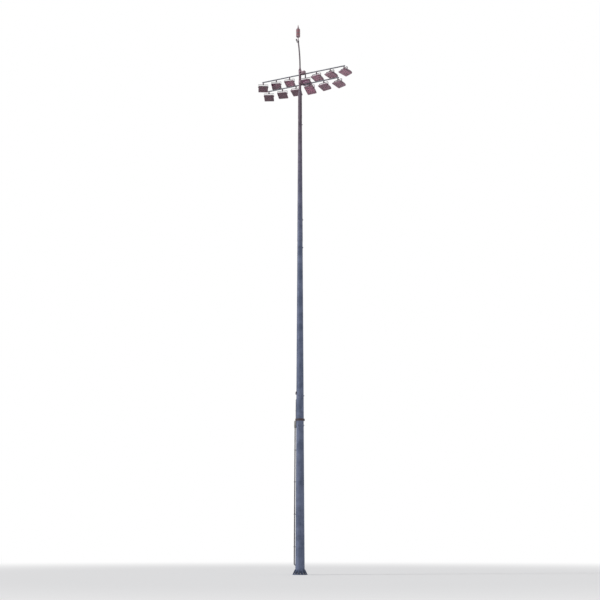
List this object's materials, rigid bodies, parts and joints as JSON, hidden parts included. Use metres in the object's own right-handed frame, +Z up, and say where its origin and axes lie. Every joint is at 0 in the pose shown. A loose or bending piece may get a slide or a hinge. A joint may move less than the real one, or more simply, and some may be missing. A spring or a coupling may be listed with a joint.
{
  "type": "stadium floodlight pylon",
  "caption": "Tall tapered steel mast with two crossarms of flat-glass floodlights in swivelling, tilting stirrups, a cable riser and a beacon on a bent pole.",
  "frame": {"origin": "centre of the base plate's flat underside, on the mast's axis at ground level", "axes": "+Z up the mast, +X along the crossarms, and the floodlights face -Y, the pitch side"},
  "size_m": [6.489, 1.3335, 33.38],
  "materials": {
    "galvanised_steel": "weathered hot-dip galvanised, dull grey with a faint blue cast and soft spangle",
    "dark_steel": "dark weathered paint",
    "grey_casting": "grey powder coat, satin",
    "lamp_casting": "dark warm grey cast aluminium, satin, dusty",
    "lamp_glass": "flat toughened glass, clear",
    "beacon_metal": "dark grey painted casting",
    "red_lens": "red moulded lens, unlit"
  },
  "bodies": {
    "mast": {"base_plate": "galvanised_steel", "mast_section_1": "galvanised_steel", "mast_section_2": "galvanised_steel", "mast_section_3": "galvanised_steel", "mast_section_4": "galvanised_steel", "access_door": "galvanised_steel", "joint_collar": "dark_steel", "cable_hood": "dark_steel", "riser_pipe": "galvanised_steel", "riser_box": "grey_casting", "head_tube": "galvanised_steel", "head_box": "grey_casting", "upper_bracket": "galvanised_steel", "lower_bracket": "galvanised_steel", "upper_crossarm": "galvanised_steel", "lower_crossarm": "galvanised_steel", "beacon_pole": "galvanised_steel", "sensor_arm": "dark_steel", "beacon_frame": "beacon_metal", "beacon_lenses": "red_lens", "beacon_cap": "beacon_metal"},
    "swivel_upper_1": {"stirrup_upper_1": "galvanised_steel"},
    "lamp_upper_1": {"housing_upper_1": "lamp_casting", "glass_upper_1": "lamp_glass"},
    "swivel_upper_2": {"stirrup_upper_2": "galvanised_steel"},
    "lamp_upper_2": {"housing_upper_2": "lamp_casting", "glass_upper_2": "lamp_glass"},
    "swivel_upper_3": {"stirrup_upper_3": "galvanised_steel"},
    "lamp_upper_3": {"housing_upper_3": "lamp_casting", "glass_upper_3": "lamp_glass"},
    "swivel_upper_4": {"stirrup_upper_4": "galvanised_steel"},
    "lamp_upper_4": {"housing_upper_4": "lamp_casting", "glass_upper_4": "lamp_glass"},
    "swivel_upper_5": {"stirrup_upper_5": "galvanised_steel"},
    "lamp_upper_5": {"housing_upper_5": "lamp_casting", "glass_upper_5": "lamp_glass"},
    "swivel_upper_6": {"stirrup_upper_6": "galvanised_steel"},
    "lamp_upper_6": {"housing_upper_6": "lamp_casting", "glass_upper_6": "lamp_glass"},
    "swivel_upper_7": {"stirrup_upper_7": "galvanised_steel"},
    "lamp_upper_7": {"housing_upper_7": "lamp_casting", "glass_upper_7": "lamp_glass"},
    "swivel_lower_1": {"stirrup_lower_1": "galvanised_steel"},
    "lamp_lower_1": {"housing_lower_1": "lamp_casting", "glass_lower_1": "lamp_glass"},
    "swivel_lower_2": {"stirrup_lower_2": "galvanised_steel"},
    "lamp_lower_2": {"housing_lower_2": "lamp_casting", "glass_lower_2": "lamp_glass"},
    "swivel_lower_3": {"stirrup_lower_3": "galvanised_steel"},
    "lamp_lower_3": {"housing_lower_3": "lamp_casting", "glass_lower_3": "lamp_glass"},
    "swivel_lower_4": {"stirrup_lower_4": "galvanised_steel"},
    "lamp_lower_4": {"housing_lower_4": "lamp_casting", "glass_lower_4": "lamp_glass"},
    "swivel_lower_5": {"stirrup_lower_5": "galvanised_steel"},
    "lamp_lower_5": {"housing_lower_5": "lamp_casting", "glass_lower_5": "lamp_glass"},
    "swivel_lower_6": {"stirrup_lower_6": "galvanised_steel"},
    "lamp_lower_6": {"housing_lower_6": "lamp_casting", "glass_lower_6": "lamp_glass"}
  },
  "joints": [
    {"name": "pan_upper_1", "type": "hinge", "parent": "mast", "child": "swivel_upper_1", "pos_m": [-2.79, 0.42, 30.041], "axis": [0, 0, 1], "range_deg": [-15, 15]},
    {"name": "tilt_upper_1", "type": "hinge", "parent": "swivel_upper_1", "child": "lamp_upper_1", "pos_m": [-2.79, 0.42, 29.875], "axis": [-0.8738, -0.4863, 0], "range_deg": [-17, 20]},
    {"name": "pan_upper_2", "type": "hinge", "parent": "mast", "child": "swivel_upper_2", "pos_m": [-1.86, 0.42, 30.041], "axis": [0, 0, 1], "range_deg": [-15, 15]},
    {"name": "tilt_upper_2", "type": "hinge", "parent": "swivel_upper_2", "child": "lamp_upper_2", "pos_m": [-1.86, 0.42, 29.875], "axis": [-0.9432, -0.3322, 0], "range_deg": [-17, 20]},
    {"name": "pan_upper_3", "type": "hinge", "parent": "mast", "child": "swivel_upper_3", "pos_m": [-0.93, 0.42, 30.041], "axis": [0, 0, 1], "range_deg": [-15, 15]},
    {"name": "tilt_upper_3", "type": "hinge", "parent": "swivel_upper_3", "child": "lamp_upper_3", "pos_m": [-0.93, 0.42, 29.875], "axis": [-0.9857, -0.1685, 0], "range_deg": [-17, 20]},
    {"name": "pan_upper_4", "type": "hinge", "parent": "mast", "child": "swivel_upper_4", "pos_m": [0.17, 0.42, 29.911], "axis": [0, 0, 1], "range_deg": [-15, 15]},
    {"name": "tilt_upper_4", "type": "hinge", "parent": "swivel_upper_4", "child": "lamp_upper_4", "pos_m": [0.17, 0.42, 29.745], "axis": [-1, 0, 0], "range_deg": [-17, 20]},
    {"name": "pan_upper_5", "type": "hinge", "parent": "mast", "child": "swivel_upper_5", "pos_m": [0.93, 0.42, 30.041], "axis": [0, 0, 1], "range_deg": [-15, 15]},
    {"name": "tilt_upper_5", "type": "hinge", "parent": "swivel_upper_5", "child": "lamp_upper_5", "pos_m": [0.93, 0.42, 29.875], "axis": [-0.9857, 0.1685, 0], "range_deg": [-17, 20]},
    {"name": "pan_upper_6", "type": "hinge", "parent": "mast", "child": "swivel_upper_6", "pos_m": [1.86, 0.42, 30.041], "axis": [0, 0, 1], "range_deg": [-15, 15]},
    {"name": "tilt_upper_6", "type": "hinge", "parent": "swivel_upper_6", "child": "lamp_upper_6", "pos_m": [1.86, 0.42, 29.875], "axis": [-0.9432, 0.3322, 0], "range_deg": [-17, 20]},
    {"name": "pan_upper_7", "type": "hinge", "parent": "mast", "child": "swivel_upper_7", "pos_m": [2.79, 0.42, 30.041], "axis": [0, 0, 1], "range_deg": [-15, 15]},
    {"name": "tilt_upper_7", "type": "hinge", "parent": "swivel_upper_7", "child": "lamp_upper_7", "pos_m": [2.79, 0.42, 29.875], "axis": [-0.8738, 0.4863, 0], "range_deg": [-17, 20]},
    {"name": "pan_lower_1", "type": "hinge", "parent": "mast", "child": "swivel_lower_1", "pos_m": [-2.375, 0.42, 29.351], "axis": [0, 0, 1], "range_deg": [-15, 15]},
    {"name": "tilt_lower_1", "type": "hinge", "parent": "swivel_lower_1", "child": "lamp_lower_1", "pos_m": [-2.375, 0.42, 29.185], "axis": [-0.9171, -0.3987, 0], "range_deg": [-17, 48]},
    {"name": "pan_lower_2", "type": "hinge", "parent": "mast", "child": "swivel_lower_2", "pos_m": [-1.425, 0.42, 29.351], "axis": [0, 0, 1], "range_deg": [-15, 15]},
    {"name": "tilt_lower_2", "type": "hinge", "parent": "swivel_lower_2", "child": "lamp_lower_2", "pos_m": [-1.425, 0.42, 29.185], "axis": [-0.9664, -0.2571, 0], "range_deg": [-17, 48]},
    {"name": "pan_lower_3", "type": "hinge", "parent": "mast", "child": "swivel_lower_3", "pos_m": [-0.475, 0.42, 29.351], "axis": [0, 0, 1], "range_deg": [-15, 15]},
    {"name": "tilt_lower_3", "type": "hinge", "parent": "swivel_lower_3", "child": "lamp_lower_3", "pos_m": [-0.475, 0.42, 29.185], "axis": [-0.994, -0.1097, 0], "range_deg": [-17, 48]},
    {"name": "pan_lower_4", "type": "hinge", "parent": "mast", "child": "swivel_lower_4", "pos_m": [0.475, 0.42, 29.351], "axis": [0, 0, 1], "range_deg": [-15, 15]},
    {"name": "tilt_lower_4", "type": "hinge", "parent": "swivel_lower_4", "child": "lamp_lower_4", "pos_m": [0.475, 0.42, 29.185], "axis": [-0.9992, 0.0401, 0], "range_deg": [-33, 32]},
    {"name": "pan_lower_5", "type": "hinge", "parent": "mast", "child": "swivel_lower_5", "pos_m": [1.425, 0.42, 29.351], "axis": [0, 0, 1], "range_deg": [-15, 15]},
    {"name": "tilt_lower_5", "type": "hinge", "parent": "swivel_lower_5", "child": "lamp_lower_5", "pos_m": [1.425, 0.42, 29.185], "axis": [-0.982, 0.1891, 0], "range_deg": [-17, 48]},
    {"name": "pan_lower_6", "type": "hinge", "parent": "mast", "child": "swivel_lower_6", "pos_m": [2.375, 0.42, 29.351], "axis": [0, 0, 1], "range_deg": [-15, 15]},
    {"name": "tilt_lower_6", "type": "hinge", "parent": "swivel_lower_6", "child": "lamp_lower_6", "pos_m": [2.375, 0.42, 29.185], "axis": [-0.9426, 0.3338, 0], "range_deg": [-17, 48]}
  ]
}
